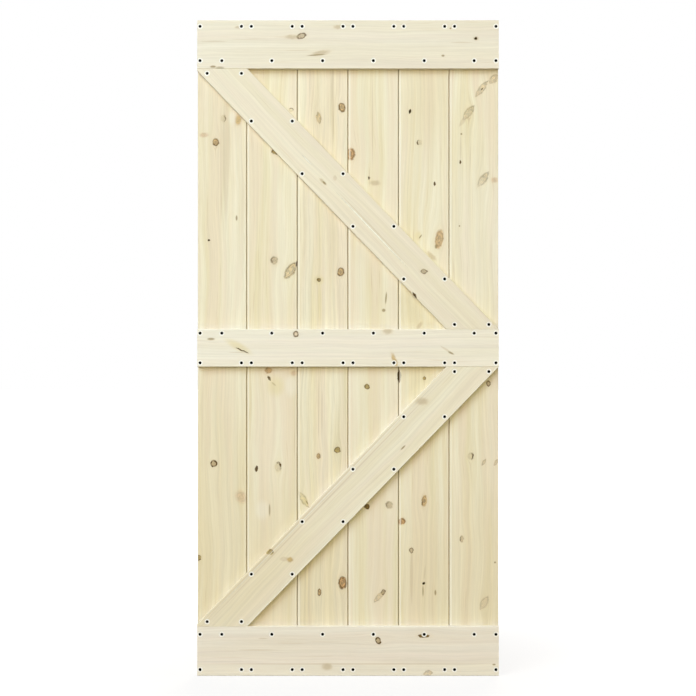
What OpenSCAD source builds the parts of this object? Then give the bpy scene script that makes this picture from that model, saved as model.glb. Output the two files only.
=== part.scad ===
// Plank barn door leaf in unfinished knotty pine, in millimetres.
// Six upright tongue and groove boards stand side by side behind a face frame of three rails
// and two diagonal braces. Countersunk black screws are driven through the frame into the boards.
// X runs across the door, Y through it with the frame on the -Y side, and Z is up.
// The boards meet the frame in the plane Y = 0, and the door's foot is in the plane Z = 0.

/* [Door] */
// Width of the door
door_w = 914; // [840:1:990]
// Height of the door
door_h = 1988; // [1900:1:2140]

/* [Boards] */
// Thickness of the upright boards
board_t = 17.5; // [15:0.5:22]
// Distance from one seam to the next
board_pitch = 154; // [140:1:165]
// Bevel on the front edges of each seam
seam_bevel = 2.5; // [0.5:0.1:3]
// Open gap between the shoulders of two boards
seam_gap = 1; // [0.4:0.1:2]
// Easing of the boards' back edges and of the door's two upright edges
board_ease = 0.8; // [0.3:0.1:1.5]
// Length of a tongue
tongue_l = 7; // [5:0.5:9]
// Thickness of a tongue
tongue_t = 6; // [4:0.5:7]
// Play between a tongue and each wall of its groove
tongue_play = 0.2; // [0.1:0.05:0.4]

/* [Rails] */
// Thickness of the rails and braces
rail_t = 17.5; // [15:0.5:22]
// Height of the top rail
top_rail_h = 147; // [125:1:170]
// Height of the middle rail
mid_rail_h = 114; // [95:1:130]
// Height of the bottom rail
bottom_rail_h = 150; // [125:1:180]
// Rounding of the long front edges of rails and braces
edge_r = 2; // [0.6:0.1:2.6]

/* [Braces] */
// Width of a brace
brace_w = 114; // [95:1:125]
// Length of the door's left edge that a brace covers beside its rail
brace_nib = 7; // [2:0.5:15]
// Hairline left at each end of a brace, where it butts on a rail
butt_gap = 0.2; // [0.1:0.05:0.5]

/* [Screws] */
// Diameter of a screw's head
head_d = 8; // [6:0.1:8.6]
// Diameter of a screw's shank over its thread
shank_d = 4; // [3:0.1:4.4]
// Height of the straight rim of a head
head_rim = 0.5; // [0.3:0.1:0.8]
// Depth of a head below the frame's face
head_sink = 0.2; // [0.1:0.05:0.5]
// Length of the screw's point
point_l = 5; // [3:0.5:7]
// Wood left between a screw's point and the back of the door
back_wood = 5; // [3.5:0.5:7]
// Span of the cross recess in a head
recess_span = 4.4; // [3:0.1:4.8]
// Width of one wing of the cross recess
recess_wing = 1; // [0.6:0.1:1.2]
// Depth of the cross recess
recess_depth = 1.6; // [1:0.1:1.9]
// Play between a screw and the wood round it
screw_play = 0.1; // [0.05:0.05:0.2]

/* [Screw rows] */
// Distance from a seam to the screws on both sides of it
seam_side = 15; // [12:0.5:20]
// Distance from the door's upright edge to its nearest screws
edge_inset = 8.5; // [6.5:0.5:14]
// Distance from the inner edge of the top and bottom rails to their single row
inner_row = 24; // [16:0.5:32]
// Distance from the outer edge of the top and bottom rails to their paired row
outer_row = 19; // [12:0.5:28]
// Distance from the edges of the middle rail to its two rows
mid_row = 12; // [9:0.5:20]
// Distance from a rail to the screws at the end of a brace
end_row = 14.5; // [10:0.5:18]
// Distance from the door's upright edge to the screws at the end of a brace
end_inset = 30; // [26:1:36]
// Least distance from a brace's long edge to a screw
brace_edge = 12; // [9:0.5:15]

/* [Hidden] */
$fn = 48;
board_count = 6;

half_w = door_w / 2;
front_y = -rail_t;
pine = [0.93, 0.88, 0.76];
pale_pine = [0.93, 0.90, 0.82];
black = [0.07, 0.07, 0.07];

// Levels of the rails' edges
top_low = door_h - top_rail_h;
mid_low = door_h / 2 - mid_rail_h / 2;
mid_high = door_h / 2 + mid_rail_h / 2;
bottom_high = bottom_rail_h;

// Tongue and groove, centred in the board's thickness
tongue_y = (board_t - tongue_t) / 2;
tongue_tip = 0.6;
groove_d = tongue_l - seam_gap + tongue_play;

// Seams are numbered from 1, and a board lies between its seam on the left and its seam on the right.
function seam_x(k) = (k - board_count / 2) * board_pitch;
function board_left(n) = n == 1 ? -half_w : seam_x(n - 1) + seam_gap / 2;
function board_right(n) = n == board_count ? half_w : seam_x(n) - seam_gap / 2;
function board_mid(n) =
    ((n == 1 ? -half_w : seam_x(n - 1)) + (n == board_count ? half_w : seam_x(n))) / 2;

// The brace's outer edge starts at the corner of the middle rail and the door's right edge. Its other
// edge meets the door's left edge brace_nib away from the far rail, and that sets its slope.
upper_panel = top_low - mid_high;
lower_panel = mid_low - bottom_high;
function brace_angle(panel) =
    atan2(panel - brace_nib, door_w)
    + asin(brace_w / norm([door_w, panel - brace_nib]));
upper_angle = brace_angle(upper_panel);
lower_angle = brace_angle(lower_panel);

// Height of a brace's centre line over its middle rail end, at a place across the door
function brace_rise(x, angle) = (half_w - x) * tan(angle) - brace_w / (2 * cos(angle));

// Screw sizes
head_r = head_d / 2;
shank_r = shank_d / 2;
head_cone = head_r - shank_r;
screw_l = rail_t + board_t - head_sink - back_wood;
sink_r = head_r + head_rim + head_sink + screw_play;
bore_r = shank_r + screw_play;

// Screw places, each as [across, up]
pair_xs = [
    -half_w + edge_inset,
    for (k = [1 : board_count - 1], side = [-1, 1]) seam_x(k) + side * seam_side,
    half_w - edge_inset
];
single_xs = [
    -half_w + edge_inset,
    for (n = [1 : board_count]) board_mid(n),
    half_w - edge_inset
];
function brace_side(angle) =
    min(board_pitch / 2 - seam_side, (brace_w / 2 - brace_edge) / sin(angle));

// The two screws at each end of a brace. They keep to the pattern beside the seams, unless the brace
// is too narrow there to hold them.
function left_end_xs(angle, panel) = [
    -half_w + end_inset,
    min(
        seam_x(1) - seam_side,
        half_w - (panel - end_row) / tan(angle) - brace_edge / sin(angle)
    )
];
function right_end_xs(angle) = [
    max(
        seam_x(board_count - 1) + seam_side,
        half_w - end_row / tan(angle) - (brace_w - brace_edge) / sin(angle)
    ),
    half_w - end_inset
];

top_rail_places = [
    for (x = pair_xs) [x, door_h - outer_row],
    for (x = single_xs) [x, top_low + inner_row]
];
middle_rail_places = [
    for (x = single_xs) [x, mid_high - mid_row],
    for (x = pair_xs) [x, mid_low + mid_row]
];
bottom_rail_places = [
    for (x = single_xs) [x, bottom_high - inner_row],
    for (x = pair_xs) [x, outer_row]
];
upper_brace_places = [
    for (x = left_end_xs(upper_angle, upper_panel)) [x, top_low - end_row],
    for (n = [2 : board_count - 1], side = [-1, 1])
        [board_mid(n) + side * brace_side(upper_angle), mid_high + brace_rise(board_mid(n), upper_angle)],
    for (x = right_end_xs(upper_angle)) [x, mid_high + end_row]
];
lower_brace_places = [
    for (x = left_end_xs(lower_angle, lower_panel)) [x, bottom_high + end_row],
    for (n = [2 : board_count - 1], side = [-1, 1])
        [board_mid(n) + side * brace_side(lower_angle), mid_low - brace_rise(board_mid(n), lower_angle)],
    for (x = right_end_xs(lower_angle)) [x, mid_low - end_row]
];
screw_places = concat(
    top_rail_places, middle_rail_places, bottom_rail_places, upper_brace_places, lower_brace_places
);

// A screw points along +Y, and its head lies in the frame's face.
module at_screws(places, y) {
    for (i = [0 : len(places) - 1]) {
        translate([places[i].x, y, places[i].y])
            rotate([-90, 0, 0])
                rotate([0, 0, 37 * i])
                    children();
    }
}

module screw() {
    difference() {
        rotate_extrude()
            polygon([
                [0, 0], [head_r, 0], [head_r, head_rim], [shank_r, head_rim + head_cone],
                [shank_r, screw_l - point_l], [0.3, screw_l], [0, screw_l]
            ]);
        for (turn = [0, 90]) {
            rotate([0, 0, turn])
                translate([-recess_span / 2, -recess_wing / 2, -1])
                    cube([recess_span, recess_wing, 1 + recess_depth]);
        }
    }
}

// Clearance hole and countersink through the frame
module frame_hole() {
    translate([0, 0, -1])
        cylinder(r = bore_r, h = rail_t + 2);
    translate([0, 0, -1])
        cylinder(r1 = sink_r + 1, r2 = bore_r, h = sink_r + 1 - bore_r);
}

// Blind hole that the screw cuts in a board
module board_hole() {
    translate([0, 0, -1])
        cylinder(r = bore_r, h = board_t - back_wood + screw_play + 1);
}

// One upright board, with its tongue on the left and its groove on the right. The first board has
// no tongue and the last one no groove, because those edges are ripped square.
module board(n) {
    x0 = board_left(n);
    x1 = board_right(n);
    left_edge = n == 1 ? [
        [x0 + board_ease, board_t], [x0, board_t - board_ease],
        [x0, board_ease], [x0 + board_ease, 0]
    ] : [
        [x0 + board_ease, board_t], [x0, board_t - board_ease],
        [x0, tongue_y + tongue_t],
        [x0 - tongue_l + tongue_tip, tongue_y + tongue_t],
        [x0 - tongue_l, tongue_y + tongue_t - tongue_tip],
        [x0 - tongue_l, tongue_y + tongue_tip],
        [x0 - tongue_l + tongue_tip, tongue_y],
        [x0, tongue_y],
        [x0, seam_bevel], [x0 + seam_bevel, 0]
    ];
    right_edge = n == board_count ? [
        [x1 - board_ease, 0], [x1, board_ease],
        [x1, board_t - board_ease], [x1 - board_ease, board_t]
    ] : [
        [x1 - seam_bevel, 0], [x1, seam_bevel],
        [x1, tongue_y - tongue_play],
        [x1 - groove_d, tongue_y - tongue_play],
        [x1 - groove_d, tongue_y + tongue_t + tongue_play],
        [x1, tongue_y + tongue_t + tongue_play],
        [x1, board_t - board_ease], [x1 - board_ease, board_t]
    ];
    color(pine)
        difference() {
            linear_extrude(height = door_h)
                polygon(concat(left_edge, right_edge));
            at_screws([for (p = screw_places) if (p.x > x0 && p.x < x1) p], 0)
                board_hole();
        }
}

module board_1() { board(1); }
module board_2() { board(2); }
module board_3() { board(3); }
module board_4() { board(4); }
module board_5() { board(5); }
module board_6() { board(6); }

// A length of frame stock along X, standing on Z = 0, with both long front edges rounded
module stock(width, length) {
    steps = 4;
    rounding = [for (i = [0 : steps]) 90 * i / steps];
    rotate([90, 0, 90])
        linear_extrude(height = length, center = true)
            polygon(concat(
                [[0, 0]],
                [[0, width]],
                [for (a = rounding)
                    [front_y + edge_r - edge_r * sin(a), width - edge_r + edge_r * cos(a)]],
                [for (a = rounding)
                    [front_y + edge_r - edge_r * cos(a), edge_r - edge_r * sin(a)]]
            ));
}

module rail(low, width, places) {
    color(pale_pine)
        difference() {
            translate([0, 0, low])
                stock(width, door_w);
            at_screws(places, front_y)
                frame_hole();
        }
}

module top_rail() {
    rail(top_low, top_rail_h, top_rail_places);
}

module middle_rail() {
    rail(mid_low, mid_rail_h, middle_rail_places);
}

module bottom_rail() {
    rail(0, bottom_rail_h, bottom_rail_places);
}

// Room for a brace between two rails
module panel_room(low, high) {
    translate([-half_w, front_y - 1, low + butt_gap])
        cube([door_w, rail_t + 2, high - low - 2 * butt_gap]);
}

// The upper brace falls from the top rail's left end to the middle rail's right end.
module upper_brace() {
    color(pale_pine)
        difference() {
            intersection() {
                translate([half_w, 0, mid_high])
                    rotate([0, upper_angle, 0])
                        translate([0, 0, -brace_w])
                            stock(brace_w, 3 * door_w);
                panel_room(mid_high, top_low);
            }
            at_screws(upper_brace_places, front_y)
                frame_hole();
        }
}

// The lower brace rises from the bottom rail's left end to the middle rail's right end.
module lower_brace() {
    color(pale_pine)
        difference() {
            intersection() {
                translate([half_w, 0, mid_low])
                    rotate([0, -lower_angle, 0])
                        stock(brace_w, 3 * door_w);
                panel_room(bottom_high, mid_low);
            }
            at_screws(lower_brace_places, front_y)
                frame_hole();
        }
}

module screws(places) {
    color(black)
        at_screws(places, front_y + head_sink)
            screw();
}

module top_rail_screws() { screws(top_rail_places); }
module middle_rail_screws() { screws(middle_rail_places); }
module bottom_rail_screws() { screws(bottom_rail_places); }
module upper_brace_screws() { screws(upper_brace_places); }
module lower_brace_screws() { screws(lower_brace_places); }

board_1();
board_2();
board_3();
board_4();
board_5();
board_6();
top_rail();
middle_rail();
bottom_rail();
upper_brace();
lower_brace();
top_rail_screws();
middle_rail_screws();
bottom_rail_screws();
upper_brace_screws();
lower_brace_screws();
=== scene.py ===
import math
from collections import namedtuple

import bpy
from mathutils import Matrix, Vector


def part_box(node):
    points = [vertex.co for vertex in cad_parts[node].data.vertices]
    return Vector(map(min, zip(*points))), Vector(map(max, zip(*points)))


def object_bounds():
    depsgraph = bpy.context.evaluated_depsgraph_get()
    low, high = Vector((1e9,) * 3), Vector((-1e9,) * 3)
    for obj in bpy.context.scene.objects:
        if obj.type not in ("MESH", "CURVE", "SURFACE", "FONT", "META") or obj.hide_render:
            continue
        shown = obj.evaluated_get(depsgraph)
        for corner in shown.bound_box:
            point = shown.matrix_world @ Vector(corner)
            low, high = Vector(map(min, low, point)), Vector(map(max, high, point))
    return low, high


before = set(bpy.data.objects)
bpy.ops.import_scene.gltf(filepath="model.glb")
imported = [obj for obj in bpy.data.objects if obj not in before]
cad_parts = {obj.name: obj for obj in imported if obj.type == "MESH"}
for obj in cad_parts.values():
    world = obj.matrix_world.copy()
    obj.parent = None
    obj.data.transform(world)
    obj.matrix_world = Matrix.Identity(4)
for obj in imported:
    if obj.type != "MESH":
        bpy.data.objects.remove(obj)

cad_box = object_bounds()
scene = bpy.context.scene

# Upright boards
# Six planed, unfinished pine boards, each with its tongue in the groove of the board to its left. The
# outer edges are ripped square. They are sawn flat from knotty logs, so the rings run up the face.

# Marks on the wood are placed by pixels of the 696 pixel photograph. The front of the frame has
# front_mm millimetres to a pixel, and the boards lie a frame's thickness further from the camera.
front_mm = 3.0315
board_mm = 3.0435
photo_middle = 348.0
door_mid = (cad_box[0][2] + cad_box[1][2]) / 2

# One mark: its middle and size in pixels, its lean to the right in degrees, and the side, in degrees
# from the right, on which its bark is dark. With no side the bark is dark all round.
Mark = namedtuple("Mark", "kind photo_x photo_y wide tall lean side", defaults=(0, None))

# What each kind of knot or mark looks like: the colour and cover of its heart, the dark of its
# rings, core and bark, the tint round it, how pointed and how soft it is, its bend of the grain and
# how much more it covers at its upper end.
Kind = namedtuple("Kind", "heart cover rings core bark halo point soft bend tip")
mark_kinds = {
    "round": Kind((0.61, 0.42, 0.18), 0.81, 0.65, 0.38, 0.72, 0.22, 0, 0.14, 1.0, 0),
    "russet": Kind((0.63, 0.365, 0.135), 0.84, 0.70, 0.30, 0.65, 0.25, 0, 0.14, 1.0, 0),
    "amber": Kind((0.61, 0.41, 0.19), 0.79, 0.45, 0.00, 0.15, 0.20, 0, 0.20, 0.8, 0),
    "eye": Kind((0.56, 0.44, 0.24), 0.85, 0.20, 0.10, 1.00, 0.20, 0, 0.14, 1.0, 0),
    "plug": Kind((0.51, 0.38, 0.11), 0.85, 0.50, 0.30, 0.70, 0.22, 0, 0.16, 1.0, 0),
    "burnt": Kind((0.25, 0.155, 0.015), 0.92, 0.40, 0.60, 0.80, 0.30, 0, 0.18, 1.0, 0),
    "hoop": Kind((0.78, 0.60, 0.38), 0.60, 0.00, 0.00, 0.85, 0.15, 0, 0.14, 1.0, 0),
    "strip": Kind((0.90, 0.84, 0.68), 0.65, 0.00, 0.00, 0.00, 0.00, 0, 0.08, 0.0, 0),
    "gleam": Kind((0.93, 0.89, 0.76), 0.55, 0.00, 0.00, 0.20, 0.00, 1, 0.30, 0.0, 0),
    "grey": Kind((0.52, 0.41, 0.23), 0.60, 0.50, 0.25, 0.70, 0.20, 0, 0.20, 0.8, 0),
    "crescent": Kind((0.66, 0.55, 0.31), 0.40, 0.30, 0.00, 1.00, 0.15, 0, 0.20, 0.8, 0),
    "leaf": Kind((0.70, 0.54, 0.25), 0.42, 1.00, 0.00, 0.18, 0.12, 1, 0.16, 0.6, 0.2),
    "faint_leaf": Kind((0.72, 0.56, 0.36), 0.26, 1.00, 0.00, 0.14, 0.12, 1, 0.16, 0.6, 0.2),
    "old_leaf": Kind((0.69, 0.51, 0.20), 0.52, 1.00, 0.00, 0.36, 0.20, 1, 0.16, 0.6, 0.2),
    "tipped": Kind((0.60, 0.47, 0.24), 0.36, 1.00, 0.00, 0.22, 0.15, 1, 0.22, 0.6, 0.7),
    "straw": Kind((0.74, 0.60, 0.14), 0.32, 0.55, 0.00, 0.25, 0.15, 1, 0.18, 0.6, -0.4),
    "tan": Kind((0.58, 0.385, 0.11), 0.70, 0.30, 0.00, 0.00, 0.20, 0, 0.45, 0.4, 0),
    "smudge": Kind((0.56, 0.45, 0.27), 0.60, 0.00, 0.00, 0.00, 0.15, 0, 0.50, 0.3, 0),
    "blush": Kind((0.68, 0.47, 0.27), 0.55, 0.30, 0.00, 0.00, 0.15, 0, 0.50, 0.3, 0),
    "pin": Kind((0.045, 0.028, 0.006), 1.00, 0.00, 0.00, 0.00, 0.25, 0, 0.20, 0.5, 0),
    "slit": Kind((0.085, 0.045, 0.006), 0.95, 0.00, 0.00, 0.00, 0.20, 1, 0.20, 0.2, 0),
    "stain": Kind((0.31, 0.225, 0.09), 0.75, 0.00, 0.00, 0.00, 0.15, 0, 0.40, 0.0, 0),
    "sap": Kind((0.80, 0.70, 0.40), 0.60, 0.00, 0.00, 0.00, 0.00, 0, 0.60, 0.0, 0),
    "pale": Kind((0.92, 0.88, 0.74), 0.40, 0.00, 0.00, 0.00, 0.00, 0, 0.50, 0.0, 0),
    "scratch": Kind((1.00, 0.97, 0.82), 0.85, 0.00, 0.00, 0.30, 0.00, 1, 0.20, 0.0, 0),
    # A tone is a broad darker, warmer patch, partly the wood's own tone and partly painted shade, mostly
    # low on the door
    "tone": Kind((0.80, 0.69, 0.45), 0.50, 0.00, 0.00, 0.00, 0.00, 0, 0.70, 0.0, 0),
    "line": Kind((0.62, 0.50, 0.32), 0.40, 0.00, 0.00, 0.00, 0.00, 1, 0.40, 0.0, 0),
}

# Broad tones come first, because the marks are painted in this order
board_marks = {
    "board_1": [
        Mark("tone", 216, 525, 66, 270), Mark("crescent", 223.4, 118.4, 5, 7, 0, 0),
        Mark("tan", 238, 120, 6, 10), Mark("pale", 232, 118, 8, 12), Mark("round", 215.7, 142.2, 6, 7),
        Mark("blush", 204, 135, 8, 4), Mark("pin", 209, 240, 2.2, 2.2),
        Mark("stain", 236.6, 218, 1.8, 5), Mark("eye", 213.8, 463.6, 6.5, 6.5),
        Mark("blush", 241.5, 497, 12, 10, 50), Mark("plug", 198.6, 557.6, 5, 5),
        Mark("line", 221, 165, 1.2, 120), Mark("line", 226, 150, 7, 150),
    ],
    "board_2": [
        Mark("tone", 272, 580, 60, 170), Mark("plug", 275.4, 151.4, 7, 6),
        Mark("crescent", 291, 110, 5, 4, 0, 60), Mark("grey", 274.4, 260.4, 7, 8, 0, 170),
        Mark("old_leaf", 290.6, 270.4, 9, 21, 36), Mark("slit", 296.6, 264, 1.8, 6),
        Mark("amber", 268.4, 370.4, 7, 6.4, 0, 180), Mark("slit", 269.2, 378.2, 2.4, 6, -35),
        Mark("stain", 273.8, 384, 1.6, 5, -50), Mark("sap", 276, 386, 15, 18),
        Mark("pale", 291, 386, 11, 20), Mark("slit", 256.6, 468.8, 2.8, 7),
        Mark("crescent", 278, 467, 6, 10, 0, 40), Mark("stain", 269.6, 510, 1.6, 11),
        Mark("pale", 262.5, 510, 12, 18), Mark("blush", 294, 373, 5, 5),
    ],
    "board_3": [
        Mark("tone", 322, 590, 60, 110), Mark("old_leaf", 318.6, 117.6, 5.4, 13, -8, -30),
        Mark("round", 342, 107.6, 6.4, 9, -15), Mark("sap", 319, 280, 9, 8),
        Mark("burnt", 318.6, 280, 4.2, 3.4), Mark("sap", 319.5, 303, 4, 40),
        Mark("round", 340.8, 272, 6.4, 8.4), Mark("plug", 337.4, 450, 6, 6),
        Mark("round", 318.4, 456, 4, 6, 0, 0), Mark("straw", 303.6, 499.4, 6, 19, -32),
        Mark("stain", 307, 502.5, 1.2, 4, -30), Mark("russet", 342.6, 582.8, 8, 12),
        Mark("round", 319.4, 592, 3.4, 6.6), Mark("line", 318.5, 410, 1.4, 62),
        Mark("line", 322, 412, 1.2, 50), Mark("line", 333, 105, 3, 90),
    ],
    "board_4": [
        Mark("russet", 350.4, 154, 9, 12, 0, 0), Mark("pin", 369, 178, 2.2, 2.8),
        Mark("smudge", 375, 183, 9, 5), Mark("stain", 386, 298, 1.6, 11, 5),
        Mark("stain", 383.7, 310.3, 3.4, 3), Mark("plug", 367, 386.6, 5, 5),
        Mark("slit", 398.3, 376.6, 2.1, 14), Mark("burnt", 367, 506.6, 5, 5),
        Mark("grey", 389.4, 505, 7, 7.6, 0, 170), Mark("leaf", 379.4, 596.4, 5, 16, 45),
        Mark("grey", 383.2, 592, 4.2, 5, 40), Mark("line", 372.5, 123, 1.2, 94),
        Mark("line", 369.4, 177, 1.2, 20),
    ],
    "board_5": [
        Mark("tone", 423, 575, 60, 120), Mark("tone", 425, 98, 60, 90),
        Mark("pin", 410, 111.4, 2.3, 4.5, 15), Mark("crescent", 419.4, 142.5, 5, 5, 0, 180),
        Mark("slit", 434.6, 184.2, 2.2, 5), Mark("amber", 439.4, 239, 8, 19, 8, 180),
        Mark("stain", 436, 246.5, 2.4, 4), Mark("sap", 418.4, 236, 6, 9),
        Mark("stain", 420.4, 236.6, 1.2, 4.4, 35), Mark("smudge", 419.6, 325.4, 3.6, 7, 35),
        Mark("plug", 424.3, 378.2, 3, 3), Mark("round", 424.4, 501, 5, 11.5, 6, 190),
        Mark("blush", 400.2, 523, 3, 4), Mark("russet", 401.8, 521.4, 7.4, 6, 0, 40),
        Mark("grey", 411.3, 550.3, 4, 5), Mark("pin", 423.7, 583.4, 2.8, 2.8),
        Mark("line", 424.6, 573, 1.6, 16, 5), Mark("stain", 423, 591, 1.2, 10),
        Mark("stain", 435.4, 592.6, 1.8, 5), Mark("smudge", 431.5, 256, 4, 11, -45),
        Mark("slit", 399.4, 376.6, 3.0, 13), Mark("line", 411.6, 575, 3, 60),
    ],
    "board_6": [
        Mark("tone", 478, 570, 70, 150), Mark("pale", 474, 235, 60, 170),
        Mark("leaf", 493.4, 79, 7, 12, 40), Mark("leaf", 481.8, 88.6, 6, 21, 38),
        Mark("slit", 482, 89, 1.2, 4, 38), Mark("tipped", 468.6, 112.6, 7, 19, 38),
        Mark("line", 463, 121, 4, 14, 35), Mark("stain", 461.3, 134, 1.8, 1.8),
        Mark("line", 460.6, 148, 1.2, 28), Mark("slit", 460.3, 162, 1.7, 4.6),
        Mark("tipped", 483, 179.4, 7, 19, 36), Mark("blush", 494.6, 180, 6, 5),
        Mark("stain", 459.5, 226, 1.4, 1.6), Mark("grey", 488.4, 383.4, 4, 5.4),
        Mark("crescent", 470.5, 456, 6, 7, 0, 0), Mark("leaf", 484, 462, 3, 8, 35),
        Mark("leaf", 496.4, 462, 3, 9, 35), Mark("grey", 461.8, 539, 4, 6.4, 0, 180),
        Mark("stain", 495, 562.4, 1.8, 1.8), Mark("faint_leaf", 484, 603, 7, 16, 30),
    ],
}


def feed_inputs(tree, node, feeds):
    """Links a socket, or sets a value, for each input that is named or numbered."""
    for key, feed in feeds:
        if isinstance(feed, bpy.types.NodeSocket):
            tree.links.new(feed, node.inputs[key])
        else:
            node.inputs[key].default_value = feed


def put(tree, kind, feeds=(), out=0, **choices):
    """Adds a node, feeds its inputs by place or by name, and returns one of its outputs."""
    node = tree.nodes.new("ShaderNode" + kind)
    for name, value in choices.items():
        setattr(node, name, value)
    feed_inputs(tree, node, feeds.items() if isinstance(feeds, dict) else enumerate(feeds))
    return node.outputs[out] if node.outputs else None


def calc(tree, operation, *values):
    return put(tree, "Math", values, operation=operation)


def times(tree, first, *others):
    """The product of two or more numbers."""
    for other in others:
        first = calc(tree, "MULTIPLY", first, other)
    return first


def vector(tree, operation, *values):
    """A calculation with vectors. Dot products and lengths come out as a number."""
    gives_number = operation in ("DOT_PRODUCT", "LENGTH")
    return put(tree, "VectorMath", values, out=int(gives_number), operation=operation)


def part(tree, source, axis):
    """One of the three numbers of a vector."""
    return vector(tree, "DOT_PRODUCT", source, [float(axis == name) for name in "XYZ"])


def ramp(tree, value, low, high, start=0.0, end=1.0):
    """Goes smoothly from start to end while the value goes from low to high."""
    return put(tree, "MapRange", [value, low, high, start, end], interpolation_type="SMOOTHSTEP")


def blend(tree, amount, first, second, way="MIX"):
    """Mixes two colours. With MULTIPLY the second one tints the first."""
    return put(tree, "Mix", {0: amount, 6: first, 7: second}, out=2, data_type="RGBA", blend_type=way)


def scaled(tree, colour, amount):
    return put(tree, "VectorMath", {0: colour, 3: amount}, operation="SCALE")


def new_group(name, takes, gives):
    tree = bpy.data.node_groups.new(name, "ShaderNodeTree")
    for label, kind in takes:
        tree.interface.new_socket(label, in_out="INPUT", socket_type="NodeSocket" + kind)
    for label, kind in gives:
        tree.interface.new_socket(label, in_out="OUTPUT", socket_type="NodeSocket" + kind)
    return tree, tree.nodes.new("NodeGroupInput").outputs, tree.nodes.new("NodeGroupOutput").inputs


def use_group(tree, group, feeds):
    node = tree.nodes.new("ShaderNodeGroup")
    node.node_tree = group
    feed_inputs(tree, node, feeds.items())
    return node.outputs


# How far the grain bends aside round a knot. Wood coordinates are millimetres across, through and
# along the grain, and a knot's girth is the product of its half width and half height. The bend
# reaches further along the grain than across it.
bend_reach = (1.0, 0.0, 0.4)
bend_ease = 0.4
knot_bend, given, result = new_group(
    "knot_bend",
    [("Wood", "Vector"), ("Place", "Vector"), ("Girth", "Float"), ("Bend", "Float")],
    [("Shift", "Float")],
)
offset = vector(knot_bend, "SUBTRACT", given["Wood"], given["Place"])
near = vector(knot_bend, "MULTIPLY", offset, bend_reach)
apart = vector(knot_bend, "DOT_PRODUCT", near, near)
push = times(knot_bend, part(knot_bend, offset, "X"), given["Girth"], given["Bend"])
push = calc(knot_bend, "DIVIDE", push, calc(knot_bend, "MULTIPLY_ADD", given["Girth"], bend_ease, apart))
knot_bend.links.new(times(knot_bend, push, -1.0), result["Shift"])

# Paints one knot over the wood: tinted wood round it, then its heart with rings and core, then bark.
# Distances in a knot are shares of its half size, so its outline is at 1. A fade runs from its first
# distance to its second. The ripple, a noise round 0.5, makes the heart's colour and the bark uneven.
halo_tint = (0.90, 0.80, 0.66, 1)
halo_fade = (2.1, 0.9)
ring_tint = (0.42, 0.32, 0.24, 1)
ring_turn = 15.0
ring_wobble = 5.0
heart_blotches = (0.36, 0.62, -0.45, 0.38)
core_colour = (0.11, 0.057, 0.015, 1)
core_fade = (0.5, 0.1)
most_tip = 1.2
bark_colour = (0.11, 0.062, 0.018, 1)
bark_inner = (0.50, 0.76)
bark_outer = (1.20, 1.02)
bark_arcs = (0.34, 0.56, 0.35, 1.0)
knot_paint, given, result = new_group(
    "knot_paint",
    [("Colour", "Color"), ("Wood", "Vector"), ("Place", "Vector"), ("Half", "Vector"), ("Lean", "Float"),
     ("Ripple", "Vector"), ("Heart", "Color"), ("Cover", "Float"), ("Rings", "Float"), ("Core", "Float"),
     ("Bark", "Float"), ("Side", "Vector"), ("Open", "Float"), ("Halo", "Float"), ("Point", "Float"),
     ("Soft", "Float"), ("Tip", "Float")],
    [("Colour", "Color")],
)
offset = vector(knot_paint, "SUBTRACT", given["Wood"], given["Place"])
turned = put(knot_paint, "VectorRotate", {"Vector": offset, "Angle": given["Lean"]}, rotation_type="Y_AXIS")
flat = vector(knot_paint, "DIVIDE", turned, given["Half"])
spot_x = part(knot_paint, flat, "X")
spot_z = part(knot_paint, flat, "Z")
oval = vector(knot_paint, "LENGTH", flat)
lens = calc(knot_paint, "MULTIPLY_ADD", spot_z, spot_z, calc(knot_paint, "ABSOLUTE", spot_x))
reach = put(knot_paint, "Mix", {0: given["Point"], 2: oval, 3: lens})

halo = times(knot_paint, ramp(knot_paint, reach, *halo_fade), given["Halo"])
tinted = blend(knot_paint, halo, given["Colour"], halo_tint, "MULTIPLY")

wobble = times(knot_paint, part(knot_paint, given["Ripple"], "Y"), ring_wobble)
ring = calc(knot_paint, "SINE", calc(knot_paint, "MULTIPLY_ADD", reach, ring_turn, wobble))
shade = times(knot_paint, calc(knot_paint, "MULTIPLY_ADD", ring, 0.5, 0.5), given["Rings"])
blotch = ramp(knot_paint, part(knot_paint, given["Ripple"], "X"), *heart_blotches)
mottle = calc(knot_paint, "MULTIPLY_ADD", blotch, given["Rings"], 1.0)
heart = blend(knot_paint, shade, scaled(knot_paint, given["Heart"], mottle), ring_tint, "MULTIPLY")
core = times(knot_paint, ramp(knot_paint, reach, *core_fade), given["Core"])
heart = blend(knot_paint, core, heart, core_colour)

edge_out = calc(knot_paint, "ADD", 1.0, given["Soft"])
edge_in = calc(knot_paint, "SUBTRACT", 1.0, given["Soft"])
tip = calc(knot_paint, "MULTIPLY_ADD", spot_z, given["Tip"], 1.0)
tip = put(knot_paint, "Clamp", [tip, 0.0, most_tip])
inside = times(knot_paint, ramp(knot_paint, reach, edge_out, edge_in), given["Cover"], tip)
filled = blend(knot_paint, calc(knot_paint, "MINIMUM", inside, 1.0), tinted, heart)

band = times(knot_paint, ramp(knot_paint, reach, *bark_inner), ramp(knot_paint, reach, *bark_outer))
arcs = ramp(knot_paint, part(knot_paint, given["Ripple"], "Z"), *bark_arcs)
facing = vector(knot_paint, "DOT_PRODUCT", vector(knot_paint, "NORMALIZE", flat), given["Side"])
sided = put(knot_paint, "Clamp", [calc(knot_paint, "ADD", facing, given["Open"]), 0.0, 1.0])
bark = times(knot_paint, band, arcs, sided, given["Bark"])
knot_paint.links.new(blend(knot_paint, bark, filled, bark_colour), result["Colour"])

# Three tints of one plank of pine, and how strongly its tones and rings, and its thin lines, show
Stock = namedtuple("Stock", "pale straw pink figure lines", defaults=(1.0,))
board_stock = Stock((0.900, 0.845, 0.650), (0.830, 0.740, 0.485), (0.860, 0.750, 0.565), 1.0)

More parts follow.
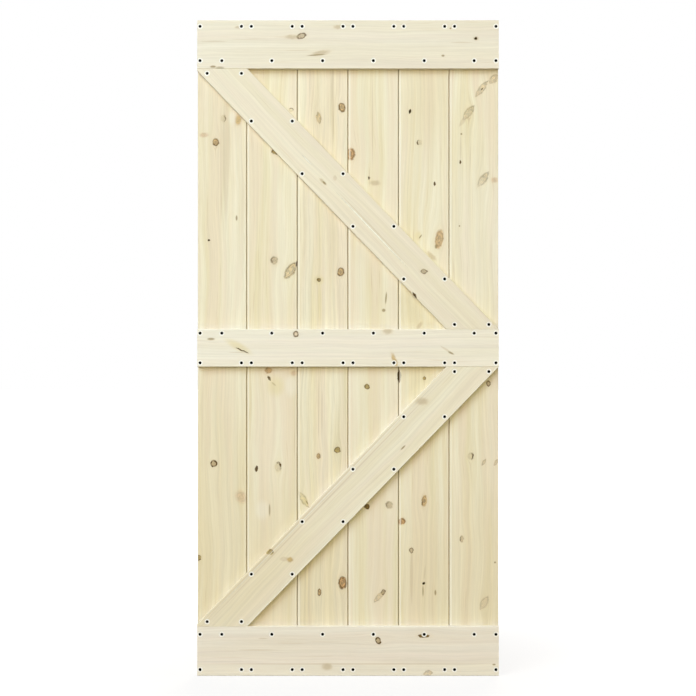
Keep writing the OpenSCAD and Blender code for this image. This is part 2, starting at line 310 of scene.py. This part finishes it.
# Streaks along the grain: the width and length of one in millimetres, where their pattern starts,
# and how fine it is
Streak = namedtuple("Streak", "wide long start detail rough")
tone_bands = Streak(34, 900, 0.0, 2.0, 0.55)
hue_bands = Streak(46, 700, 31.0, 2.0, 0.55)
thin_streaks = Streak(6, 420, 57.0, 3.0, 0.65)
fibres = Streak(1.1, 45, 83.0, 3.0, 0.65)
resin_lines = Streak(2.6, 150, 97.0, 1.0, 0.55)

# A plank's figure: the dark late wood of its rings, and its streaks
Figure = namedtuple("Figure", "late bands hues streaks fibre resin")
to_mm = 1000


def on_wood(turn, x, z):
    """A place on the door's front, in millimetres from the piece's middle, in wood coordinates."""
    return (x * math.cos(turn) + z * math.sin(turn), 0.0, z * math.cos(turn) - x * math.sin(turn))


def place_marks(marks, mm, middle, turn):
    """Each mark with its kind, its place and its half size on the wood. Marks go right through it."""
    right_through = 1e6
    placed = []
    for mark in marks:
        x = (mark.photo_x - photo_middle) * mm - middle[0] * to_mm
        z = (photo_middle - mark.photo_y) * mm + (door_mid - middle[2]) * to_mm
        half = (mark.wide * mm / 2, right_through, mark.tall * mm / 2)
        placed.append((mark, mark_kinds[mark.kind], on_wood(turn, x, z), half))
    return placed


def bend_grain(tree, wood, placed):
    """How far all the knots together push the grain aside."""
    shift = 0.0
    for mark, kind, place, half in placed:
        if kind.bend:
            girth = half[0] * half[2]
            feeds = {"Wood": wood, "Place": place, "Girth": girth, "Bend": kind.bend}
            shift = calc(tree, "ADD", use_group(tree, knot_bend, feeds)["Shift"], shift)
    return shift


def grow(tree, wood, shift, pith, seed):
    """Rings round the pith, bent by the knots and by the log's own wander, and streaks along them.
    The seed sets where in the patterns a plank starts. The rings' gap and the wander are millimetres."""
    ring_gap = 4.0
    ring_spread = 4.0
    ring_change = 0.09
    late_rise = (0.30, 0.92)
    late_fall = (1.0, 0.93)
    taper = 0.012
    wander_across = 40.0
    wander_through = 24.0
    wander_scale = (0.006, 0.006, 0.0022)
    wander_start = (seed * 37.0, seed * 11.0, seed * 53.0)
    years_start = seed * 3.7
    streaks_start = seed * 7.3

    slow = put(tree, "Mapping", {"Vector": wood, "Location": wander_start, "Scale": wander_scale})
    wander = put(tree, "TexNoise", {"Vector": slow, "Scale": 1.0, "Detail": 2.0}, out="Color")
    aside = calc(tree, "SUBTRACT", part(tree, wander, "X"), 0.5)
    across = calc(tree, "ADD", part(tree, wood, "X"), shift)
    across = calc(tree, "MULTIPLY_ADD", aside, wander_across, across)
    through = part(tree, wood, "Y")
    along = part(tree, wood, "Z")

    from_x = calc(tree, "SUBTRACT", across, pith[0])
    deeper = calc(tree, "MULTIPLY_ADD", part(tree, wander, "Y"), wander_through, through)
    from_y = calc(tree, "SUBTRACT", deeper, pith[1])
    square = calc(tree, "MULTIPLY_ADD", from_x, from_x, times(tree, from_y, from_y))
    radius = calc(tree, "MULTIPLY_ADD", along, taper, calc(tree, "SQRT", square))
    years_at = calc(tree, "MULTIPLY_ADD", radius, ring_change, years_start)
    years = put(tree, "TexNoise", {"W": years_at, "Scale": 1.0, "Detail": 3.0}, noise_dimensions="1D")
    phase = calc(tree, "MULTIPLY_ADD", years, ring_spread, times(tree, radius, 1 / ring_gap))
    year = calc(tree, "FRACT", phase)
    late = times(tree, ramp(tree, year, *late_rise), ramp(tree, year, *late_fall))

    def streak(kind):
        start = streaks_start + kind.start
        at = put(tree, "CombineXYZ", [
            times(tree, across, 1 / kind.wide),
            times(tree, through, 1 / kind.wide),
            calc(tree, "MULTIPLY_ADD", along, 1 / kind.long, start),
        ])
        look = {"Vector": at, "Scale": 1.0, "Detail": kind.detail, "Roughness": kind.rough}
        return put(tree, "TexNoise", look)

    kinds = (tone_bands, hue_bands, thin_streaks, fibres, resin_lines)
    return Figure(late, *(streak(kind) for kind in kinds))


def tone_wood(tree, figure, stock):
    """Colour of the plain wood: bands of tone and of hue, streaks, rings and a few thin resin lines."""
    strong = stock.figure
    band_swing = 0.42 * strong
    band_fade = (0.36, 0.64, 0.5 - band_swing, 0.5 + band_swing)
    hue_fade = (0.40, 0.66, 0.0, 0.75)
    resin_colour = (0.60, 0.45, 0.24, 1)
    resin_fade = (0.66, 0.76)
    resin_bands = (0.42, 0.6, 0.0, 0.5 * strong)
    # What else darkens the tone: a layer of the figure, its middle level and how much it counts
    layers = ((figure.streaks, 0.5, 0.8), (figure.late, 0.3, 0.15), (figure.fibre, 0.5, 0.35))

    tone = ramp(tree, figure.bands, *band_fade)
    for layer, level, amount in layers:
        tone = calc(tree, "MULTIPLY_ADD", calc(tree, "SUBTRACT", layer, level), amount * strong, tone)
    colour = blend(tree, put(tree, "Clamp", [tone, 0.0, 1.0]), (*stock.pale, 1), (*stock.straw, 1))
    colour = blend(tree, ramp(tree, figure.hues, *hue_fade), colour, (*stock.pink, 1))
    resin = times(tree, ramp(tree, figure.resin, *resin_fade), ramp(tree, figure.bands, *resin_bands))
    return blend(tree, resin, colour, resin_colour)


def paint_ends(tree, colour, normal, turn, late):
    """The sawn ends show the rings more, and darker."""
    end_colour = (0.55, 0.40, 0.21, 1)
    end_fade = (0.75, 0.95)
    plain_cover = 0.30
    ring_cover = 0.55
    along = (-math.sin(turn), 0, math.cos(turn))
    facing = calc(tree, "ABSOLUTE", vector(tree, "DOT_PRODUCT", normal, along))
    cover = calc(tree, "MULTIPLY_ADD", late, ring_cover, plain_cover)
    return blend(tree, times(tree, ramp(tree, facing, *end_fade), cover), colour, end_colour)


def paint_marks(tree, colour, wood, placed, turn):
    """Knots with uneven outlines, and straight marks, one over the other."""
    ripple_scale = 0.11
    ripple_middle = (0.5, 0.5, 0.5)
    uneven_mm = (7.0, 0.0, 7.0)
    ripple = put(tree, "TexNoise", {"Vector": wood, "Scale": ripple_scale, "Detail": 2.0}, out="Color")
    jolt = vector(tree, "MULTIPLY", vector(tree, "SUBTRACT", ripple, ripple_middle), uneven_mm)
    knotted = vector(tree, "ADD", wood, jolt)
    for mark, kind, place, half in placed:
        all_round = mark.side is None
        side = (0.0, 0.0, 0.0)
        if not all_round:
            way = math.radians(mark.side)
            side = on_wood(turn, math.cos(way), math.sin(way))
        colour = use_group(tree, knot_paint, {
            "Colour": colour, "Wood": knotted if kind.bend else wood, "Ripple": ripple,
            "Place": place, "Half": half, "Lean": -math.radians(mark.lean) - turn,
            "Heart": (*kind.heart, 1), "Cover": kind.cover, "Rings": kind.rings, "Core": kind.core,
            "Bark": kind.bark, "Side": side, "Open": float(all_round), "Halo": kind.halo,
            "Point": kind.point, "Soft": kind.soft, "Tip": kind.tip,
        })["Colour"]
    return colour


def shade_streaks(tree, colour, figure, lines):
    """Streaks and fibres show through the knots and tints too."""
    streak_shade = -0.26
    fibre_shade = -0.14
    light = 1.0
    for layer, amount in ((figure.streaks, streak_shade), (figure.fibre, fibre_shade)):
        light = calc(tree, "MULTIPLY_ADD", calc(tree, "SUBTRACT", layer, 0.5), amount * lines, light)
    return scaled(tree, colour, light)


def paint_seats(tree, colour, wood, seats, middle, turn):
    """Fibres stand up pale round each screw that was driven in, and painted shade darkens the rim of its
    countersink. Both fade out in millimetres from the screw's middle."""
    fibre_colour = (1.0, 0.98, 0.90, 1)
    fibre_fade = (8.8, 7.4, 0.0, 0.9)
    rim_shade_colour = (0.02, 0.011, 0.004, 1)
    rim_shade_fade = (4.65, 4.4)
    on_face = (1.0, 0.0, 1.0)
    for x, z in seats:
        place = on_wood(turn, (x - middle[0]) * to_mm, (z - middle[2]) * to_mm)
        offset = vector(tree, "MULTIPLY", vector(tree, "SUBTRACT", wood, place), on_face)
        far = vector(tree, "LENGTH", offset)
        colour = blend(tree, ramp(tree, far, *fibre_fade), colour, fibre_colour)
        colour = blend(tree, ramp(tree, far, *rim_shade_fade), colour, rim_shade_colour)
    return colour


def paint_highlights(tree, colour, wood, normal, edges):
    """Painted highlights: thin pale lines on the front beside planed edges, where they would catch the
    light.
    Each has its start and stop across the grain, in millimetres, and its shine."""
    highlight_colour = (1.0, 0.96, 0.80, 1)
    soft_mm = 0.8
    front_fade = (-0.5, -0.9)
    for start, stop, shine in edges:
        across = part(tree, wood, "X")
        first_side = ramp(tree, across, start - soft_mm, start)
        other_side = ramp(tree, across, stop + soft_mm, stop, 0.0, shine)
        front = ramp(tree, part(tree, normal, "Y"), *front_fade)
        colour = blend(tree, times(tree, first_side, other_side, front), colour, highlight_colour)
    return colour


def paint_grooves(tree, colour, spot, normal):
    """Painted shade, with some dust, darkens the grooves between the boards, but not the door's own edges
    and ends. Depths are metres behind the boards' front."""
    groove_shade_tint = (0.30, 0.23, 0.17, 1)
    front_fade = (0.0015, 0.0027)
    back_fade = (0.0174, 0.0166)
    edge_fade = (cad_box[1][0] - 0.0006, cad_box[1][0] - 0.0016)
    end_fade = (0.7, 0.3)
    depth = part(tree, spot, "Y")
    deep = times(tree, ramp(tree, depth, *front_fade), ramp(tree, depth, *back_fade))
    inner = ramp(tree, calc(tree, "ABSOLUTE", part(tree, spot, "X")), *edge_fade)
    upright = ramp(tree, calc(tree, "ABSOLUTE", part(tree, normal, "Z")), *end_fade)
    return blend(tree, times(tree, deep, inner, upright), colour, groove_shade_tint, "MULTIPLY")


def centre(node):
    low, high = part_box(node)
    return [(a + b) / 2 for a, b in zip(low, high)]


# Ledges of the frame, with painted shade on the boards above them: the way each faces, its distance
# from the origin that way, and the heights between which it runs. The lower brace's ledge faces up to the
# left.
brace_turns = {"upper_brace": math.radians(43.98), "lower_brace": math.radians(-44.08)}
brace_half = 0.057
ledges = [((0, 0, 1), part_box(rail)[1][2], 0, cad_box[1][2]) for rail in ("middle_rail", "bottom_rail")]
brace_low, brace_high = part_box("lower_brace")
brace_up = (-math.cos(brace_turns["lower_brace"]), 0, -math.sin(brace_turns["lower_brace"]))
brace_level = sum(a * b for a, b in zip(centre("lower_brace"), brace_up)) + brace_half
ledges.append((brace_up, brace_level, brace_low[2], brace_high[2]))


def paint_ledge_shade(tree, colour, spot):
    """Painted shade dims the glow bounced on the boards in the corners above the frame."""
    ledge_shade_tint = (0.885, 0.90, 0.985, 1)
    above_fade = (0.024, 0.0)
    below_fade = (-0.012, -0.004)
    front_fade = (0.003, 0.001)
    soft = 0.001
    front = ramp(tree, part(tree, spot, "Y"), *front_fade)
    up = part(tree, spot, "Z")
    for way, level, low, high in ledges:
        over = calc(tree, "SUBTRACT", vector(tree, "DOT_PRODUCT", spot, way), level)
        shaded = times(tree, ramp(tree, over, *above_fade), ramp(tree, over, *below_fade), front)
        run = times(tree, ramp(tree, up, low - soft, low), ramp(tree, up, high + soft, high))
        colour = blend(tree, times(tree, shaded, run), colour, ledge_shade_tint, "MULTIPLY")
    return colour


def pine(name, middle, turn, marks, mm, pith, stock, seed, is_board=False, seats=(), edges=()):
    """Material of one piece of pine. Its grain runs along Z turned about Y, and its rings are round
    a pith that is given in millimetres across and through from the piece's middle."""
    material = bpy.data.materials.new(name)
    material.use_nodes = True
    tree = material.node_tree
    tree.nodes.clear()
    spot = put(tree, "TexCoord", out="Object")
    normal = put(tree, "TexCoord", out="Normal")
    here = vector(tree, "SUBTRACT", spot, middle)
    wood = put(tree, "Mapping", {"Vector": here, "Rotation": (0, turn, 0), "Scale": (to_mm, to_mm, to_mm)})

    placed = place_marks(marks, mm, middle, turn)
    figure = grow(tree, wood, bend_grain(tree, wood, placed), pith, seed)
    colour = tone_wood(tree, figure, stock)
    colour = paint_ends(tree, colour, normal, turn, figure.late)
    colour = paint_marks(tree, colour, wood, placed, turn)
    colour = shade_streaks(tree, colour, figure, stock.lines)
    colour = paint_seats(tree, colour, wood, seats, middle, turn)
    colour = paint_highlights(tree, colour, wood, normal, edges)
    # The boards get painted shade in their grooves and in the corners above the frame
    if is_board:
        colour = paint_grooves(tree, colour, spot, normal)
        colour = paint_ledge_shade(tree, colour, spot)

    fibre_height = 0.5
    late_height = 0.35
    plain_rough = 0.62
    late_rough = -0.08
    fibre_rough = 0.2
    height = times(tree, figure.late, late_height)
    height = calc(tree, "MULTIPLY_ADD", figure.fibre, fibre_height, height)
    rough = calc(tree, "MULTIPLY_ADD", figure.late, late_rough, plain_rough)
    rough = calc(tree, "MULTIPLY_ADD", figure.fibre, fibre_rough, rough)
    shader = put(tree, "BsdfPrincipled", {
        "Base Color": colour,
        "Roughness": rough,
        "Normal": put(tree, "Bump", {"Strength": 0.35, "Distance": 0.0004, "Height": height}),
        "Specular IOR Level": 0.12,
    })
    put(tree, "OutputMaterial", [shader])
    return material


def dress(node, material):
    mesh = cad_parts[node].data
    mesh.materials.clear()
    mesh.materials.append(material)


# Painted highlights beside the seams: their start and stop from the seam, in millimetres, and their shine.
# A board's box also holds its tongue, which lies in the groove of the board to its left.
tongue = 7.0
right_of_seam = (2.8, 6.5, 0.55)
left_of_seam = (5.4, 2.6, 0.25)

# Where the pith of each board's log lies, and how strongly the board's thin lines show
board_piths = [(30, 70), (-40, 45), (10, 60), (-15, 40), (45, 55), (-30, 80)]
board_lines = [1.05, 0.8, 1.7, 0.55, 0.95, 1.0]
last_board = len(board_marks) - 1
for number, (node, marks) in enumerate(board_marks.items()):
    low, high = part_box(node)
    half = (high[0] - low[0]) / 2 * to_mm
    board_highlights = []
    if number > 0:
        start, stop, shine = right_of_seam
        board_highlights.append((tongue - half + start, tongue - half + stop, shine))
    if number < last_board:
        start, stop, shine = left_of_seam
        board_highlights.append((half - start, half - stop, shine))
    dress(node, pine(
        node + "_pine", centre(node), 0.0, marks, board_mm, board_piths[number],
        board_stock._replace(lines=board_lines[number]), seed=number + 1, is_board=True, edges=board_highlights,
    ))

# Rails
# Three lengths of clearer, paler pine across the whole width, planed and with eased front edges.
# They are screwed on the boards at the top, the middle and the foot of the door.
rail_marks = {
    "top_rail": [
        Mark("grey", 301.4, 36, 5.4, 9.4, 72), Mark("smudge", 292, 37, 12, 4),
        Mark("smudge", 321, 52.8, 4, 16, 80), Mark("stain", 316.6, 55, 1.3, 17, 86),
        Mark("smudge", 238, 27.4, 6, 2.4), Mark("smudge", 338, 27, 8, 3.4),
        Mark("smudge", 476, 38.6, 5, 3.4), Mark("pin", 475.6, 38.6, 2.8, 2.5),
        Mark("line", 462, 42.4, 1.2, 24, 90), Mark("stain", 443, 55.7, 3, 2),
        Mark("stain", 450.5, 28.4, 1.8, 1.6), Mark("stain", 213, 66.8, 5.4, 2.4),
        Mark("stain", 220, 68, 8, 2.6), Mark("line", 214, 41.4, 1.3, 28, 90),
    ],
    "middle_rail": [
        Mark("stain", 211, 339, 7, 2.2), Mark("sap", 238.5, 346.5, 7, 25, -62),
        Mark("slit", 242, 350.4, 1.3, 15, -66), Mark("line", 238, 352.4, 1.0, 20, 90),
        Mark("hoop", 295.8, 334, 5, 6), Mark("smudge", 387.6, 330.6, 9, 6.6),
        Mark("line", 446, 349.4, 2, 14, -58), Mark("stain", 451, 353, 1.8, 6, -65),
        Mark("tan", 394.8, 361, 3.8, 15, -20),
    ],
    "bottom_rail": [
        Mark("strip", 348, 672, 3000, 16), Mark("line", 263, 638.4, 1.2, 10, 90),
        Mark("line", 258, 650, 1.2, 46, 90), Mark("smudge", 327, 666.6, 9, 6),
        Mark("eye", 378.2, 640.6, 5, 7, -25), Mark("burnt", 424, 635.8, 11, 3.4),
        Mark("leaf", 428, 673.2, 6, 10, 80), Mark("stain", 494, 664.5, 3, 1.6),
        Mark("line", 348, 663.9, 1.3, 330, 90),
    ],
}
rail_stocks = {
    "top_rail": Stock((0.875, 0.825, 0.685), (0.835, 0.765, 0.595), (0.845, 0.765, 0.625), 0.6),
    "middle_rail": Stock((0.920, 0.885, 0.750), (0.885, 0.825, 0.655), (0.890, 0.820, 0.690), 0.6),
    "bottom_rail": Stock((0.905, 0.855, 0.735), (0.865, 0.785, 0.630), (0.875, 0.790, 0.665), 0.6),
}

# The corners of one screw lie within this many metres of each other
head_reach = 0.009


def heads(node):
    """Middles of the screw heads of a node, across and up, from the corners of its separate solids."""
    solids = []
    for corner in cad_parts[node].data.vertices:
        x, z = corner.co.x, corner.co.z
        for xs, zs in solids:
            if abs(x - xs[0]) < head_reach and abs(z - zs[0]) < head_reach:
                xs.append(x)
                zs.append(z)
                break
        else:
            solids.append(([x], [z]))
    return [((min(xs) + max(xs)) / 2, (min(zs) + max(zs)) / 2) for xs, zs in solids]


# Each rail has a painted highlight, a pale line beside its lower edge, between two heights above it in
# millimetres
rail_piths = [(20, 90), (-25, 70), (40, 80)]
rail_highlight = (0.2, 3.2)
rail_shine = {"top_rail": 0.3, "middle_rail": 0.6, "bottom_rail": 0.3}
rail_turn = math.pi / 2
for number, (node, marks) in enumerate(rail_marks.items()):
    low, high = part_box(node)
    half = (high[2] - low[2]) / 2 * to_mm
    dress(node, pine(
        node + "_pine", centre(node), rail_turn, marks, front_mm, rail_piths[number], rail_stocks[node],
        seed=number + 11, seats=heads(node + "_screws"),
        edges=[(rail_highlight[0] - half, rail_highlight[1] - half, rail_shine[node])],
    ))

# Braces
# Two lengths of the same stock as the middle rail, laid on the slant between the rails with their
# ends sawn flat to them. Together they point to the right.
brace_marks = {
    "upper_brace": [
        Mark("smudge", 322.6, 181.4, 2.4, 8, -45), Mark("stain", 324.4, 183, 2, 4.4, -45),
        Mark("line", 335, 178, 4, 6), Mark("grey", 424, 271.6, 6.6, 4.2),
        Mark("slit", 414.6, 295.6, 2.6, 8, -30), Mark("blush", 410, 292.5, 2.4, 4),
        Mark("scratch", 307, 160, 1.2, 14, -44), Mark("line", 373.4, 228.8, 1.3, 104, -43.5),
        Mark("scratch", 372, 230, 1.6, 104, -43.5),
    ],
    "lower_brace": [
        Mark("smudge", 422, 401.4, 11, 6.4), Mark("stain", 403, 447.6, 1.6, 6, 45),
        Mark("tone", 250, 575, 60, 150, 44), Mark("plug", 269.6, 552, 8, 5.6, 0, 10),
        Mark("line", 284, 559, 8, 5), Mark("tan", 290, 559.6, 6, 4.4),
        Mark("line", 317, 503.5, 1.4, 330, 44.08), Mark("gleam", 318, 504.5, 1.2, 330, 44.08),
        Mark("line", 320.2, 506.5, 1.4, 330, 44.08),
    ],
}
brace_stocks = {
    "upper_brace": Stock((0.885, 0.830, 0.660), (0.835, 0.755, 0.555), (0.850, 0.760, 0.600), 0.5),
    "lower_brace": Stock((0.905, 0.855, 0.680), (0.845, 0.770, 0.565), (0.865, 0.780, 0.620), 0.7),
}
# Only the lower brace has a painted highlight, a pale line beside its lower right edge
brace_highlights = {"upper_brace": [], "lower_brace": [(51.6, 55.6, 0.9)]}
brace_pith = (15, 75)
for number, (node, marks) in enumerate(brace_marks.items()):
    dress(node, pine(
        node + "_pine", centre(node), brace_turns[node], marks, front_mm, brace_pith, brace_stocks[node],
        seed=number + 21, seats=heads(node + "_screws"), edges=brace_highlights[node],
    ))

# Screws
# Black coated countersunk screws with a cross recess, driven flush from the front through the frame
# into the boards.
coat = bpy.data.materials.new("black_coat")
coat.use_nodes = True
tree = coat.node_tree
tree.nodes.clear()
coat_spot = put(tree, "TexCoord", out="Object")
grain = put(tree, "TexNoise", {"Vector": coat_spot, "Scale": 900.0, "Detail": 3.0})
shader = put(tree, "BsdfPrincipled", {
    "Base Color": blend(tree, grain, (0.001, 0.001, 0.001, 1), (0.004, 0.004, 0.004, 1)),
    "Roughness": ramp(tree, grain, 0.3, 0.7, 0.45, 0.65),
    "Normal": put(tree, "Bump", {"Strength": 0.2, "Distance": 0.0001, "Height": grain}),
    "Specular IOR Level": 0.02,
})
put(tree, "OutputMaterial", [shader])
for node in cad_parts:
    if node.endswith("_screws"):
        dress(node, coat)

# Studio
# A white floor that runs out of sight, soft lamps round the door, the strongest at the upper left, and
# the camera straight in front.
floor_size = 60
floor_drop = 0.0005
floor_colour = (0.22, 0.19, 0.14, 1)

# The glow that the camera sees on the floor grows with the distance from the door
glow_colour = (0.86, 0.88, 0.92, 1)
glow_from_door = (0.3, 2.0, 0.9, 1.2)
bpy.ops.object.select_all(action="DESELECT")
bpy.ops.mesh.primitive_plane_add(size=floor_size, location=(0, 0, -floor_drop))
floor = bpy.context.object
floor.name = "studio_floor"
floor_paint = bpy.data.materials.new("floor_white")
floor_paint.use_nodes = True
tree = floor_paint.node_tree
tree.nodes.clear()
seen = put(tree, "LightPath", out="Is Camera Ray")
matt = put(tree, "BsdfDiffuse", [floor_colour])
from_door = vector(tree, "LENGTH", put(tree, "TexCoord", out="Object"))
strength = times(tree, seen, ramp(tree, from_door, *glow_from_door))
glow = put(tree, "Emission", [glow_colour, strength])
put(tree, "OutputMaterial", [put(tree, "AddShader", [matt, glow])])
floor.data.materials.append(floor_paint)

# The world is white where it is seen, and elsewhere a weak warm light
warm_light = (1.0, 0.93, 0.60, 1)
weak = 0.20
scene.view_settings.view_transform = "Standard"
world = bpy.data.worlds.new("studio")
scene.world = world
world.use_nodes = True
tree = world.node_tree
tree.nodes.clear()
path = put(tree, "LightPath").node.outputs
mirrored = calc(tree, "MAXIMUM", path["Is Glossy Ray"], path["Is Transmission Ray"])
seen = calc(tree, "MAXIMUM", path["Is Camera Ray"], mirrored)
sky_colour = blend(tree, seen, warm_light, (1, 1, 1, 1))
sky_strength = calc(tree, "MULTIPLY_ADD", seen, 1 - weak, weak)
put(tree, "OutputWorld", [put(tree, "Background", [sky_colour, sky_strength])])


def lamp(name, place, aim, size, watts, colour=(1, 1, 1)):
    light = bpy.data.lights.new(name, "AREA")
    light.shape = "DISK"
    light.size = size
    light.energy = watts
    light.color = colour
    holder = bpy.data.objects.new(name, light)
    scene.collection.objects.link(holder)
    holder.location = place
    way = [b - a for a, b in zip(place, aim)]
    tilt = math.atan2(math.hypot(way[0], way[1]), -way[2])
    holder.rotation_euler = (tilt, 0, math.atan2(-way[0], way[1]))


cool_white = (0.945, 0.884, 0.995)
sky_blue = (0.50, 0.77, 1.0)
warm_yellow = (1.0, 0.93, 0.56)
lamp("key", (-9.5, -14.0, 9.5), aim=(0, 0, 1.0), size=18.0, watts=2475, colour=cool_white)
lamp("top_fill", (-3.2, -3.6, 5.6), aim=(0, 0, 1.5), size=4.0, watts=195, colour=sky_blue)
lamp("front_fill", (0.5, -7.5, 2.2), aim=(0, 0, 1.3), size=4.0, watts=130, colour=warm_yellow)
lamp("side_fill", (8.0, -1.0, 3.0), aim=(0, 0, 1.0), size=4.0, watts=130)
lamp("rear_fill", (1.5, 8.0, 4.0), aim=(0, 0, 1.0), size=6.0, watts=640)

camera_far = 4.4127
camera = bpy.data.cameras.new("camera")
camera.sensor_width = 36
camera.lens = 75
eye = bpy.data.objects.new("camera", camera)
scene.collection.objects.link(eye)
eye.location = (0, -camera_far, door_mid)
eye.rotation_euler = (math.pi / 2, 0, 0)
scene.camera = eye
